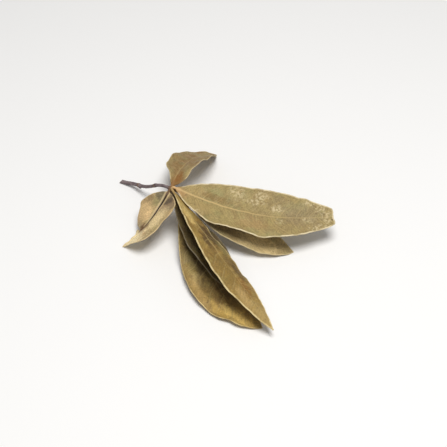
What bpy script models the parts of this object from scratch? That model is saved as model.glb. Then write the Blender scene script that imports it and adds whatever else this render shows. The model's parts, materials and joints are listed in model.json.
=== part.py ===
"""Bay leaf branch: a dried sprig of seven leaves on one short cut twig, lying on a surface.

The sprig is laid out in millimetres from its whorl, the knot at the twig's tip where the leaf
stalks meet: +X to the right, +Y to the back, +Z up. It is then moved so that the origin is at the
bottom centre of its bounding box, and made in metres.
"""

from dataclasses import dataclass
from math import pi

import bpy
import numpy as np

MM = 0.001

# The surface that the sprig lies on, below the whorl
FLOOR = -17.0

# Leaf blades
BLADE_THICKNESS = 0.7
RIB_THICKNESS = 0.7
RIB_WIDTH = 1.3
STALK_RADIUS = 0.52
TIP_HALF_WIDTH = 0.4
BLADE_ROWS = 34
STALK_ROWS = 4
HALF_COLUMNS = 4
SPINE_STEPS = 240

# Twig
TWIG_TIP = (-0.2, 0.1, -0.1)
TWIG_FIRST_HANDLE = (-9.0, 8.4, -5.2)
TWIG_SECOND_HANDLE = (-18.0, 16.6, -15.2)
TWIG_CUT_END = (-28.0, 22.6, -16.1)
TWIG_TIP_RADIUS = 0.75
TWIG_CUT_RADIUS = 1.0
WHORL_SWELLING = 0.3
SCAR_SWELLING = 0.2
SCARS = (0.34, 0.66)
BUD_HEIGHT = 0.7
CUT_SLANT = 0.8
TWIG_RINGS = 56
TWIG_SIDES = 14

# Colours from the photograph, as sRGB shares of one
OLIVE = (0.60, 0.53, 0.35)
GOLD_OLIVE = (0.62, 0.51, 0.29)
DEEP_OLIVE = (0.46, 0.38, 0.22)
TAN = (0.72, 0.61, 0.42)
BARK = (0.33, 0.25, 0.20)


@dataclass
class Leaf:
    """One leaf. Triples are values at its base, middle and tip, and angles are in degrees."""

    name: str
    colour: tuple
    # Where the stalk leaves the twig, and the lengths along and across the leaf
    base: tuple
    length: float
    width: float
    stalk: float
    # The midrib's course: heading from +X towards +Y, climb above the level
    heading: tuple
    climb: tuple
    # The blade about its midrib: roll lifts the left margin, fold lifts both, curl bends on outwards
    roll: tuple
    fold: tuple
    curl_left: tuple
    curl_right: tuple
    # How slowly the blade widens from its stalk and narrows to its tip
    shape: tuple
    # Waves of the margin: height, number along the blade, phase in turns
    wave: tuple
    # Dents in the margin: place along the blade, side (1 left, -1 right), depth, length
    dents: tuple = ()


LEAVES = (
    Leaf(
        name="leaf_right_top",
        colour=OLIVE,
        base=(0.8, -0.1, 0.8),
        length=83,
        width=26,
        stalk=3,
        heading=(-32.5, -12, 13),
        climb=(0.5, -3.5, -6.5),
        roll=(22, 16, 31),
        fold=(7.5, 6, 3.5),
        curl_left=(1.5, -5.5, -4),
        curl_right=(1.5, 4.5, 3.5),
        shape=(0.63, 0.56),
        wave=(0.35, 3.0, 0.1),
        dents=((0.985, 1, 0.35, 0.012), (0.93, -1, 0.06, 0.01)),
    ),
    Leaf(
        name="leaf_right_lower",
        colour=DEEP_OLIVE,
        base=(0.8, 0.4, -1.4),
        length=68,
        width=20.5,
        stalk=4,
        heading=(-32, -28, -9.5),
        climb=(-8.5, -15, -10),
        roll=(14.5, 5, 10.5),
        fold=(4, 9, 2),
        curl_left=(0, 6, 6),
        curl_right=(0, 12, 8),
        shape=(0.97, 0.83),
        wave=(0.5, 3.2, 0.3),
    ),
    Leaf(
        name="leaf_front_top",
        colour=GOLD_OLIVE,
        base=(0.0, -1.3, 0.0),
        length=95.5,
        width=20,
        stalk=3.5,
        heading=(-65, -59, -53),
        climb=(2, -8, -14),
        roll=(-46, -33.5, -18),
        fold=(8, 2.5, 3),
        curl_left=(0, -14.5, -9),
        curl_right=(2, -4.5, -4),
        shape=(1.03, 0.96),
        wave=(0.4, 3.5, 0.3),
    ),
    Leaf(
        name="leaf_front_middle",
        colour=DEEP_OLIVE,
        base=(-0.5, -0.7, -1.5),
        length=72.5,
        width=18.5,
        stalk=4,
        heading=(-67.5, -58.5, -62),
        climb=(-10, -9.5, -8.5),
        roll=(-21, -12.5, -14),
        fold=(3, 7, 2.5),
        curl_left=(0, -8, -2),
        curl_right=(0.5, 5.5, 4.5),
        shape=(1.02, 0.95),
        wave=(0.5, 3.2, 0.3),
    ),
    Leaf(
        name="leaf_front_lower",
        colour=GOLD_OLIVE,
        base=(-1.6, 0.1, -2.7),
        length=92,
        width=27,
        stalk=4,
        heading=(-50.5, -69, -31.5),
        climb=(-14, -10, 1),
        roll=(2, 5, -6.5),
        fold=(3.5, 1.5, 8),
        curl_left=(0, -28, 8),
        curl_right=(0, 8, 11),
        shape=(1.2, 0.83),
        wave=(0.9, 3.2, 0.3),
    ),
    Leaf(
        name="leaf_left_folded",
        colour=TAN,
        base=(-1.5, -0.8, -0.7),
        length=38,
        width=20.5,
        stalk=3,
        heading=(-113, -134, -163),
        climb=(-4, -29, -33),
        roll=(-9, 21, 24),
        fold=(18, 13, 13),
        curl_left=(-3, -16, -9),
        curl_right=(0, -23, -13),
        shape=(0.51, 0.98),
        wave=(0.4, 2.2, 0.3),
    ),
    Leaf(
        name="leaf_back",
        colour=TAN,
        base=(-0.3, 1.9, 0.5),
        length=52,
        width=21,
        stalk=3,
        heading=(73.5, 63.5, 43),
        climb=(5.5, -23, -33),
        roll=(-10, -14, -10),
        fold=(10, 8, 2),
        curl_left=(0, 6, 6),
        curl_right=(0, 8, 8),
        shape=(0.7, 0.9),
        wave=(0.6, 2.4, 0.6),
    ),
)


def along(triple, u):
    """A smooth run through a triple's base, middle and tip values."""
    base, middle, tip = triple
    return base * (1 - u) * (1 - 2 * u) + 4 * middle * u * (1 - u) + tip * u * (2 * u - 1)


def smooth_step(x, start, end):
    t = np.clip((x - start) / (end - start), 0, 1)
    return t * t * (3 - 2 * t)


def leaf_rows(leaf):
    """Places along the midrib, as shares of the leaf's length: the stalk, then the blade."""
    stalk_share = leaf.stalk / leaf.length
    stalk = np.linspace(0, stalk_share, STALK_ROWS, endpoint=False)
    blade = np.linspace(stalk_share, 1, BLADE_ROWS + 1)
    return np.concatenate([stalk, blade])


def leaf_frames(leaf, u):
    """The midrib's points, and the directions across the blade and out of its upper face."""
    fine = np.linspace(0, 1, SPINE_STEPS + 1)
    heading = np.radians(along(leaf.heading, fine))
    climb = np.radians(along(leaf.climb, fine))
    level = np.stack([np.cos(heading), np.sin(heading), 0 * fine], -1)
    course = level * np.cos(climb)[:, None] + np.array([0, 0, 1]) * np.sin(climb)[:, None]
    steps = (course[1:] + course[:-1]) / 2 * leaf.length / SPINE_STEPS
    spine = np.concatenate([[leaf.base], leaf.base + np.cumsum(steps, 0)])

    heading = np.interp(u, fine, heading)
    points = np.stack([np.interp(u, fine, spine[:, k]) for k in range(3)], -1)
    course = np.stack([np.interp(u, fine, course[:, k]) for k in range(3)], -1)
    roll = np.radians(along(leaf.roll, u))[:, None]
    across = np.stack([-np.sin(heading), np.cos(heading), 0 * heading], -1)
    up = np.cross(course, across)
    return points, across * np.cos(roll) + up * np.sin(roll), up * np.cos(roll) - across * np.sin(roll)


def blade_share(leaf, u):
    """Places along the blade alone, 0 where the stalk ends and 1 at the tip."""
    stalk_share = leaf.stalk / leaf.length
    return np.clip((u - stalk_share) / (1 - stalk_share), 0, 1)


def half_width(leaf, u, side):
    """Half the leaf's width on one side, in millimetres."""
    b = blade_share(leaf, u)
    widen, narrow = leaf.shape
    peak = widen / (widen + narrow)
    width = leaf.width / 2 * b**widen * (1 - b) ** narrow / (peak**widen * (1 - peak) ** narrow)
    for place, dent_side, depth, length in leaf.dents:
        if side == dent_side:
            width = width * (1 - depth * np.exp(-(((b - place) / length) ** 2)))
    least = np.where(b > 0.9, TIP_HALF_WIDTH, STALK_RADIUS)
    return np.maximum(width, least)


def margin_wave(leaf, u, side):
    """How far the margin rises and dips, in millimetres. It fades towards both ends."""
    height, count, phase = leaf.wave
    b = blade_share(leaf, u)
    offset, second_offset = (0.37, 0.11) if side > 0 else (0.0, 0.6)
    first = np.sin(2 * pi * (count * b + phase + offset))
    second = np.sin(2 * pi * (1.9 * count * b + 1.7 * phase + second_offset))
    return height * np.sqrt(np.sin(pi * b)) * (first + second / 2)


def leaf_surface(leaf, u, half_columns):
    """The leaf's middle surface as rows along it and columns across it, right margin first.

    Also gives each point's distance from the midrib, as a share of the half-width, and in mm.
    """
    points, across, up = leaf_frames(leaf, u)
    columns = []
    for side, curl in ((-1, leaf.curl_right), (1, leaf.curl_left)):
        width = half_width(leaf, u, side)
        fold = np.radians(along(leaf.fold, u))
        bend = np.radians(along(curl, u))
        out = np.zeros_like(u)
        rise = np.zeros_like(u)
        wave = margin_wave(leaf, u, side)
        for step in range(half_columns + 1):
            share = step / half_columns
            place = points + across * (side * out)[:, None] + up * (rise + share**2 * wave)[:, None]
            if step or side > 0:
                columns.append((side * share, place, share * width))
            angle = fold + bend * (step + 0.5) / half_columns
            out = out + np.cos(angle) * width / half_columns
            rise = rise + np.sin(angle) * width / half_columns
    columns.sort(key=lambda column: column[0])
    shares = np.array([column[0] for column in columns])
    surface = np.stack([column[1] for column in columns], 1)
    distances = np.stack([column[2] for column in columns], 1)
    return surface, shares, distances


def half_thickness(leaf, u, shares, distances):
    """Half the leaf's thickness: a flat blade with a rib along its middle, and a round stalk."""
    blade = BLADE_THICKNESS / 2 + RIB_THICKNESS / 2 * np.exp(-((distances / RIB_WIDTH) ** 2))
    stalk = STALK_RADIUS * np.sqrt(1 - 0.8 * shares**2)[None, :]
    b = blade_share(leaf, u)
    flat = smooth_step(b, 0.0, 0.06)[:, None]
    thick = blade * flat + stalk * (1 - flat)
    slim_tip = smooth_step(b, 0.85, 1.0)[:, None]
    return thick * (1 - slim_tip) + BLADE_THICKNESS / 2 * slim_tip


def surface_normals(surface):
    along_leaf = np.gradient(surface, axis=0)
    across_leaf = np.gradient(surface, axis=1)
    normals = np.cross(along_leaf, across_leaf)
    return normals / np.linalg.norm(normals, axis=2, keepdims=True)


def rested(upper, lower):
    """Both faces of a blade where it meets the surface that it lies on: a flat spot, full thickness."""
    lower[..., 2] = np.maximum(lower[..., 2], FLOOR)
    upper[..., 2] = np.maximum(upper[..., 2], FLOOR + BLADE_THICKNESS)
    return upper, lower


def leaf_solid(leaf):
    """Vertices and triangles of a leaf, split alike on both faces."""
    u = leaf_rows(leaf)
    surface, shares, distances = leaf_surface(leaf, u, HALF_COLUMNS)
    offset = surface_normals(surface) * half_thickness(leaf, u, shares, distances)[..., None]
    upper, lower = rested(surface + offset, surface - offset)
    rows, columns = surface.shape[:2]
    vertices = np.concatenate([upper.reshape(-1, 3), lower.reshape(-1, 3)])

    def top(i, j):
        return i * columns + j

    def bottom(i, j):
        return rows * columns + i * columns + j

    triangles = []
    for i in range(rows - 1):
        for j in range(columns - 1):
            a, b, c, d = (i, j), (i + 1, j), (i + 1, j + 1), (i, j + 1)
            pair = ((a, b, c), (a, c, d)) if j < HALF_COLUMNS else ((a, b, d), (b, c, d))
            for p, q, r in pair:
                triangles.append((top(*p), top(*q), top(*r)))
                triangles.append((bottom(*p), bottom(*r), bottom(*q)))
    rim = [(i, 0) for i in range(rows)]
    rim += [(rows - 1, j) for j in range(1, columns)]
    rim += [(i, columns - 1) for i in range(rows - 2, -1, -1)]
    rim += [(0, j) for j in range(columns - 2, 0, -1)]
    for p, q in zip(rim, rim[1:] + rim[:1]):
        triangles.append((bottom(*p), bottom(*q), top(*q)))
        triangles.append((bottom(*p), top(*q), top(*p)))
    return vertices, triangles


def twig_centre(s):
    """The twig's centre line, from its tip at 0 to its cut end at 1, with a slight bend at each scar."""
    s = s[:, None]
    ends = (1 - s) ** 3 * np.array(TWIG_TIP) + s**3 * np.array(TWIG_CUT_END)
    handles = 3 * s * (1 - s) ** 2 * np.array(TWIG_FIRST_HANDLE)
    handles = handles + 3 * s**2 * (1 - s) * np.array(TWIG_SECOND_HANDLE)
    sway = np.sin(3 * pi * s) * np.sin(pi * s) * np.array([0.35, 0.45, 0.25])
    return ends + handles + sway


def twig_radius(s, angle):
    """Slim, swollen at the whorl and at each leaf scar, with a small bud above each scar."""
    radius = TWIG_TIP_RADIUS + (TWIG_CUT_RADIUS - TWIG_TIP_RADIUS) * s
    radius = radius + WHORL_SWELLING * np.exp(-(((s - 0.03) / 0.045) ** 2))
    for count, scar in enumerate(SCARS):
        radius = radius + SCAR_SWELLING * np.exp(-(((s - scar) / 0.02) ** 2))
        bud_angle = 1.9 + 2.4 * count
        turn = np.angle(np.exp(1j * (angle - bud_angle)))
        bud = np.exp(-(((s - scar + 0.03) / 0.022) ** 2) - (turn / 0.5) ** 2)
        radius = radius + BUD_HEIGHT * bud
    return radius


def twig_solid():
    """A closed tube round the twig's centre line, domed at the tip and cut slantwise at the end."""
    dome = 0.02 * (1 - np.cos(np.linspace(0, pi / 2, 5)))[1:]
    s = np.concatenate([dome, np.linspace(0.02, 1, TWIG_RINGS)[1:]])
    centre = twig_centre(s)
    course = np.gradient(centre, s, axis=0)
    course /= np.linalg.norm(course, axis=1, keepdims=True)
    side = np.cross(course, [0, 0, 1])
    side /= np.linalg.norm(side, axis=1, keepdims=True)
    top = np.cross(side, course)
    angle = 2 * pi * np.arange(TWIG_SIDES) / TWIG_SIDES
    dome_share = np.sqrt(1 - np.clip(1 - s / 0.02, 0, 1) ** 2)
    radius = twig_radius(s[:, None], angle[None, :]) * dome_share[:, None]
    cut = smooth_step(s, 0.95, 1.0)[:, None] * CUT_SLANT * np.sin(angle)[None, :] * radius
    rings = centre[:, None] + side[:, None] * (radius * np.cos(angle))[..., None]
    rings = rings + top[:, None] * (radius * np.sin(angle))[..., None] - course[:, None] * cut[..., None]
    rings[..., 2] = np.maximum(rings[..., 2], FLOOR)
    count = len(s)
    tip = twig_centre(np.array([0.0]))
    vertices = np.concatenate([rings.reshape(-1, 3), tip, rings[-1].mean(0)[None]])

    triangles = []
    tip_point = count * TWIG_SIDES
    for k in range(TWIG_SIDES):
        following = (k + 1) % TWIG_SIDES
        for i in range(count - 1):
            a, b = i * TWIG_SIDES + k, i * TWIG_SIDES + following
            c, d = a + TWIG_SIDES, b + TWIG_SIDES
            triangles.append((a, d, b))
            triangles.append((a, c, d))
        triangles.append((tip_point, k, following))
        last = (count - 1) * TWIG_SIDES
        triangles.append((tip_point + 1, last + following, last + k))
    return vertices, triangles


def linear(colour):
    """Shader values of an sRGB colour."""
    values = np.array(colour)
    shaded = np.where(values <= 0.04045, values / 12.92, ((values + 0.055) / 1.055) ** 2.4)
    return (*shaded, 1.0)


def make_material(name, colour, roughness):
    material = bpy.data.materials.new(name)
    material.use_nodes = True
    shader = material.node_tree.nodes["Principled BSDF"]
    shader.inputs["Base Color"].default_value = linear(colour)
    shader.inputs["Roughness"].default_value = roughness
    shader.inputs["Metallic"].default_value = 0.0
    return material


def make_object(name, vertices, triangles, material):
    mesh = bpy.data.meshes.new(name)
    mesh.from_pydata([tuple(point) for point in vertices * MM], [], triangles)
    mesh.shade_smooth()
    mesh.set_sharp_from_angle(angle=0.7)
    mesh.materials.append(material)
    piece = bpy.data.objects.new(name, mesh)
    bpy.context.scene.collection.objects.link(piece)
    return piece


def main():
    for old in list(bpy.data.objects):
        bpy.data.objects.remove(old)
    solids = {"twig": (*twig_solid(), make_material("twig_bark", BARK, 0.75))}
    for leaf in LEAVES:
        solids[leaf.name] = (*leaf_solid(leaf), make_material(leaf.name, leaf.colour, 0.6))
    everything = np.concatenate([vertices for vertices, _, _ in solids.values()])
    lowest, highest = everything.min(0), everything.max(0)
    origin = np.array([*(lowest + highest)[:2] / 2, lowest[2]])
    for name, (vertices, triangles, material) in solids.items():
        make_object(name, vertices - origin, triangles, material)
    print("whorl at", -origin, "mm")


main()
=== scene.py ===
"""The dried bay sprig, dressed: seven leaves and their twig in full detail, round the packed CAD part.

Every leaf follows the same course as its CAD solid and stands for it, with a real leaf's thickness,
midrib, side veins, net of small veins and thickened margin. Lengths in the tables and formulas are
millimetres from the whorl, the knot where the leaf stalks meet. Meshes are made in metres.
"""

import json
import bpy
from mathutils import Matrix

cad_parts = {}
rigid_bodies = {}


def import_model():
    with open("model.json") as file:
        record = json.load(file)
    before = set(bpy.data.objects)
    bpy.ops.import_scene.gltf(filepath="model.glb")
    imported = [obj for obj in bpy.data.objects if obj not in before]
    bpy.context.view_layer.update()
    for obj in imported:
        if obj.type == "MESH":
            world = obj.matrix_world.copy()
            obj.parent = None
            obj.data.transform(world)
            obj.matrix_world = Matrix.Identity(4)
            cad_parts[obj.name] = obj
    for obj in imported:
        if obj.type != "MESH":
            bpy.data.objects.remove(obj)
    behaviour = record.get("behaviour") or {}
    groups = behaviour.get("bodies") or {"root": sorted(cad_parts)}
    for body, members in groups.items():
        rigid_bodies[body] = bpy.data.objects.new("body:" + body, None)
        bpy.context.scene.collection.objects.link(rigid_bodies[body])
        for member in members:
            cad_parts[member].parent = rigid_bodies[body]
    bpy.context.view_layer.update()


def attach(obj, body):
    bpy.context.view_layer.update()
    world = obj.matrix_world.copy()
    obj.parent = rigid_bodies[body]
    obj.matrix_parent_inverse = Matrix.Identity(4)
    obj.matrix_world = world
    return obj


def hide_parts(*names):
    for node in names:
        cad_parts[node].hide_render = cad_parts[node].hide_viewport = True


bl_info = {
    "name": "Dried Bay Sprig",
    "version": (1, 0, 0),
    "blender": (4, 5, 0),
    "location": "3D View > Sidebar > Bay Sprig",
    "description": "Builds a dried bay sprig round its CAD part, with a pale studio stage",
    "category": "Add Mesh",
}

from dataclasses import dataclass
from math import pi, radians

import bpy
import numpy as np
from bpy.props import FloatProperty, FloatVectorProperty, IntProperty, PointerProperty

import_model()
BODY = "root"

MM = 0.001
WHORL = np.array([-25.61565, 19.05638, 17.0])
FLOOR = -WHORL[2]
SPINE_STEPS = 240

# Blade and stalk
BLADE_HALF_THICKNESS = 0.17
STALK_RADIUS = 0.52
STALK_FLARE = 0.16
STALK_GAP_ANGLE = 0.12
STALK_THICKENING = 1.6
TIP_HALF_WIDTH = 0.4
TIP_START = 0.9

# How finely the leaves are divided
ROOT_ROWS = 10
STALK_ROWS = 14
ROW_STEP = 0.3
HALF_COLUMNS = 44
COLUMN_CROWDING = 0.42

# Relief of the leaves
RIB_UPPER = 0.16
RIB_LOWER = 0.42
RIB_BASE_WIDTH = 0.62
RIB_TIP_WIDTH = 0.24
VEIN_UPPER = 0.03
VEIN_LOWER = 0.08
VEIN_WIDTH = 0.3
VEIN_SLANT = 0.7
VEIN_CURVE = 0.025
VEIN_STAGGER = 0.43
VEIN_UNEVENNESS = 0.13
VEIN_UNEVEN_LENGTH = 14.0
PILLOW = 0.05
COCKLE = 0.15
COCKLE_LENGTH = 10.0
CRINKLE = 0.07
CRINKLE_LENGTH = 4.5
CREASE_WIDTH = 0.5
RIM_BULGE = 0.05
RIM_WIDTH = 0.45
EDGE_THINNING = 0.5
RAGGED = 0.09
RAGGED_LENGTH = 5.0
BROKEN = 6
BROKEN_LENGTH = 3.0

# Added to a leaf's seed, so that each relief has draws of its own
CRINKLE_SEED = 50
VEIN_SEED = 100
RAGGED_SEED = 200
BROKEN_SEED = 300

# Twig
TWIG_TIP = (-0.2, 0.1, -0.1)
TWIG_FIRST_HANDLE = (-9.0, 8.4, -5.2)
TWIG_SECOND_HANDLE = (-18.0, 16.6, -15.2)
TWIG_CUT_END = (-28.0, 22.6, -16.1)
TWIG_LENGTH = 40.0
DOME = 0.02
WHORL_SWELLING = 0.3
WHORL_MIDDLE = 0.03
WHORL_REACH = 0.045
SCAR_SWELLING = 0.2
SCAR_REACH = 0.02
SCARS = (0.34, 0.66)
BUD_HEIGHT = 0.7
BUD_REACH = 0.022
BUD_TURN = 0.5
CUT_SLANT = 0.8
CUT_START = 0.95
CUT_HOLLOW = 0.06
DOME_RINGS = 14
TWIG_RINGS = 300
TWIG_SIDES = 48
CUT_RINGS = 8
BARK_WRINKLE = 0.045
KNOB_LENGTH = 1.6
KNOB_SEED = 31

# Scales of the leaves' patterns: waves or cells in each millimetre
CLOUD_SCALE = 0.075
STAIN_SCALE = 0.16
BLOTCH_SCALE = 0.45
GRAIN_SCALE = 1.5
CRUMB_SCALE = 0.7
SPECK_SCALE = 0.28
NET_SCALE = 1.15
SMALL_NET_SCALE = 2.7
RIM_FADE_SCALE = 0.2

# Scales of the twig's patterns
BARK_CLOUD_SCALE = 0.35
BARK_GRAIN_SCALE = 3.2
BARK_FINE_SCALE = 5.0
LENTICEL_SCALE = 6.0
WOOD_RINGS = 26.0

# Colours as they look on screen
CREAM = (0.84, 0.77, 0.60)
DUST = (0.85, 0.78, 0.61)
BROWN = (0.36, 0.25, 0.15)
LENTICEL = (0.62, 0.54, 0.42)
WOOD_RING = (0.55, 0.42, 0.27)
PITH = (0.44, 0.32, 0.2)
CUT_BARK = (0.27, 0.19, 0.13)

# Stage
CAMERA_TILT = 45
SENSOR_WIDTH = 36
KEY_PLACE = (0.08, -0.14, 0.80)
KEY_SIZE = 0.45
KEY_COLOUR = (1.0, 0.985, 0.96)
PAPER_SCALE = 900.0


@dataclass
class Patch:
    """A soft-edged stain or bloom on a leaf: its middle along and across the blade, and its reach."""

    along: float
    across: float
    length: float
    width: float
    colour: tuple
    strength: float


@dataclass
class Leaf:
    """How one leaf is carried. Triples are values at its base, middle and tip, angles in degrees."""

    # The CAD node, and the piece that stands for it
    node: str
    piece: str
    # Where the stalk grows from the twig, as a share of the twig, and where it is clear of it
    root: float
    base: tuple
    # Length of the stalk
    stalk: float
    # The midrib's course over the ground, its climb, and the blade's turn about it
    heading: tuple
    climb: tuple
    roll: tuple
    # How steeply both halves rise from the midrib, and how each bends on to its margin
    fold: tuple
    curl_left: tuple
    curl_right: tuple
    # Powers by which the outline widens from the base and narrows to the tip
    shape: tuple
    # The margin's waves: height, number and shift
    wave: tuple
    seed: int
    # Slopes of the two sides where the blade runs down to the knot, left and right, and where that ends
    wedge: tuple
    wedge_end: tuple = (5.0, 10.0)
    # How wide that wedge can grow, and how far before the stalk's base it starts
    wedge_limit: float = 100.0
    wedge_lead: float = 0.0
    # Where the round stalk has become a flat blade
    flat: tuple = (0.4, 2.4)
    # How much of the outline's length is broken off at the tip
    cut: float = 0.0
    # Width of the cream margin
    rim: float = RIM_WIDTH
    # Dents and bulges of the margin: place, side, depth as a share of the width, and reach
    dents: tuple = ()
    # Depth of the crease along the midrib
    crease: float = 0.12
    # How far the midrib lies left of the blade's middle, and how it bows out to there
    rib_shift: float = 0.0
    rib_bow: float = 0.7
    # Half the width of the midrib's colour at the base and tip
    rib_width: tuple = (0.5, 0.17)
    # Where along the blade the midrib grows faint, and what is left of it there
    rib_fade: tuple = (0.25, 0.95, 0.5)
    # Stains, among them patches of painted shade and painted light, and patches of dust or scurf, which lie
    # in crumbs
    patches: tuple = ()
    blooms: tuple = ()


RIGHT_TOP = Leaf(
    node="leaf_right_top",
    piece="right_top_leaf",
    root=0.012,
    base=(0.8, -0.1, 0.8),
    stalk=3,
    heading=(-32.5, -12, 13),
    climb=(0.5, -3.5, -6.5),
    roll=(22, 16, 31),
    fold=(7.5, 6, 3.5),
    curl_left=(1.5, -5.5, -4),
    curl_right=(1.5, 4.5, 3.5),
    shape=(0.63, 0.56),
    wave=(0.35, 3.0, 0.1),
    cut=0.028,
    dents=(
        (0.27, -1, -0.14, 0.06),
        (0.57, -1, -0.10, 0.05),
        (0.74, -1, 0.04, 0.05),
        (0.86, -1, 0.11, 0.08),
        (0.9, 1, 0.05, 0.05),
    ),
    rib_shift=-1.3,
    rib_bow=2.0,
    rib_fade=(0.2, 0.75, 0.5),
    rim=0.6,
    seed=11,
    wedge=(0.56, 0.56),
    patches=(
        Patch(0.5, -1.5, 7.0, 3.5, (0.71, 0.56, 0.37), 0.8),
        Patch(8.0, 3.0, 8.0, 4.0, (0.69, 0.60, 0.39), 0.6),
        Patch(12.0, -4.5, 11.0, 5.0, (0.67, 0.58, 0.37), 0.5),
        Patch(19.0, 5.5, 5.0, 3.5, (0.60, 0.60, 0.39), 0.45),
        Patch(59.0, 5.5, 7.0, 4.0, (0.57, 0.56, 0.38), 0.3),
        Patch(20.0, 2.8, 10.0, 2.2, (0.53, 0.43, 0.24), 0.75),
        Patch(40.0, -5.5, 9.0, 4.5, (0.65, 0.53, 0.34), 0.6),
        Patch(64.0, 1.0, 14.0, 7.0, (0.55, 0.48, 0.34), 0.65),
        Patch(51.5, 9.5, 5.0, 3.5, (0.52, 0.45, 0.31), 0.5),
        Patch(79.0, -1.6, 1.2, 0.35, (0.25, 0.17, 0.10), 0.9),
    ),
    blooms=(
        Patch(29.5, 9.2, 6.0, 4.5, DUST, 0.62),
        Patch(42.5, 10.2, 5.5, 3.2, DUST, 0.68),
        Patch(40.0, 6.4, 6.5, 2.0, DUST, 0.7),
        Patch(51.5, 4.2, 4.0, 2.5, DUST, 0.75),
        Patch(66.5, -1.2, 4.0, 2.6, DUST, 0.5),
        Patch(53.0, -2.5, 3.0, 2.0, DUST, 0.5),
        Patch(73.5, 4.4, 4.0, 2.8, DUST, 0.65),
        Patch(76.5, 0.0, 3.0, 5.0, DUST, 0.65),
        Patch(71.5, -5.8, 7.0, 2.4, DUST, 0.6),
        Patch(68.5, 7.6, 6.0, 2.4, DUST, 0.6),
        Patch(14.0, -8.0, 4.0, 3.0, DUST, 0.4),
    ),
)
RIGHT_LOWER = Leaf(
    node="leaf_right_lower",
    piece="right_lower_leaf",
    root=0.035,
    base=(0.8, 0.4, -1.4),
    stalk=4,
    heading=(-32, -28, -9.5),
    climb=(-8.5, -15, -10),
    roll=(14.5, 5, 10.5),
    fold=(4, 9, 2),
    curl_left=(0, 6, 6),
    curl_right=(0, 12, 8),
    shape=(0.97, 0.83),
    wave=(0.5, 3.2, 0.3),
    dents=((0.12, -1, 0.35, 0.08),),
    seed=12,
    wedge=(0.3, 0.3),
    flat=(2.0, 7.0),
    patches=(
        # Painted light: brightens the part of the blade that the right top leaf shades
        Patch(47.0, -3.0, 12.0, 6.5, (0.90, 0.80, 0.58), 0.9),
    ),
)
FRONT_TOP = Leaf(
    node="leaf_front_top",
    piece="front_top_leaf",
    root=0.015,
    base=(0.0, -1.3, 0.0),
    stalk=3.5,
    heading=(-65, -59, -53),
    climb=(2, -8, -14),
    roll=(-46, -33.5, -18),
    fold=(8, 2.5, 3),
    curl_left=(0, -14.5, -9),
    curl_right=(2, -4.5, -4),
    shape=(1.03, 0.96),
    wave=(0.4, 3.5, 0.3),
    seed=13,
    wedge=(0.7, 0.3),
    wedge_end=(7.0, 15.0),
    rim=0.75,
    dents=((0.22, 1, -0.16, 0.09), (0.39, -1, 0.19, 0.07)),
    rib_shift=2.2,
    patches=(
        Patch(19.0, -3.3, 8.0, 3.4, (0.88, 0.76, 0.48), 0.9),
        # Painted shade: this patch and the next darken the blade where the right top leaf shades it
        Patch(30.5, 3.2, 11.0, 4.6, (0.31, 0.23, 0.13), 0.88),
        Patch(34.0, -1.8, 7.5, 3.2, (0.35, 0.26, 0.14), 0.85),
        # Painted shade: the right top leaf's shadow on the blade's right part
        Patch(48.5, 2.8, 8.0, 3.0, (0.44, 0.35, 0.19), 0.7),
        Patch(40.0, 5.0, 7.0, 3.0, (0.50, 0.46, 0.28), 0.6),
        Patch(54.0, -3.5, 18.0, 6.5, (0.50, 0.40, 0.19), 0.6),
        # Painted shade: the right top leaf's shadow on the blade's right part
        Patch(56.0, 4.4, 9.0, 3.4, (0.35, 0.27, 0.15), 0.7),
        Patch(71.5, -4.0, 9.0, 3.5, (0.74, 0.62, 0.40), 0.65),
        Patch(65.0, 0.8, 7.0, 3.2, (0.54, 0.37, 0.16), 0.6),
        Patch(84.0, -1.0, 12.0, 5.0, (0.70, 0.60, 0.38), 0.6),
        Patch(10.5, -2.5, 8.0, 3.0, (0.82, 0.72, 0.46), 0.75),
    ),
)
FRONT_MIDDLE = Leaf(
    node="leaf_front_middle",
    piece="front_middle_leaf",
    root=0.03,
    base=(-0.5, -0.7, -1.5),
    stalk=4,
    heading=(-67.5, -58.5, -62),
    climb=(-10, -9.5, -8.5),
    roll=(-21, -12.5, -14),
    fold=(3, 7, 2.5),
    curl_left=(0, -8, -2),
    curl_right=(0.5, 5.5, 4.5),
    shape=(1.02, 0.95),
    wave=(0.5, 3.2, 0.3),
    seed=14,
    wedge=(0.25, 0.25),
    flat=(2.0, 7.0),
)
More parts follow.
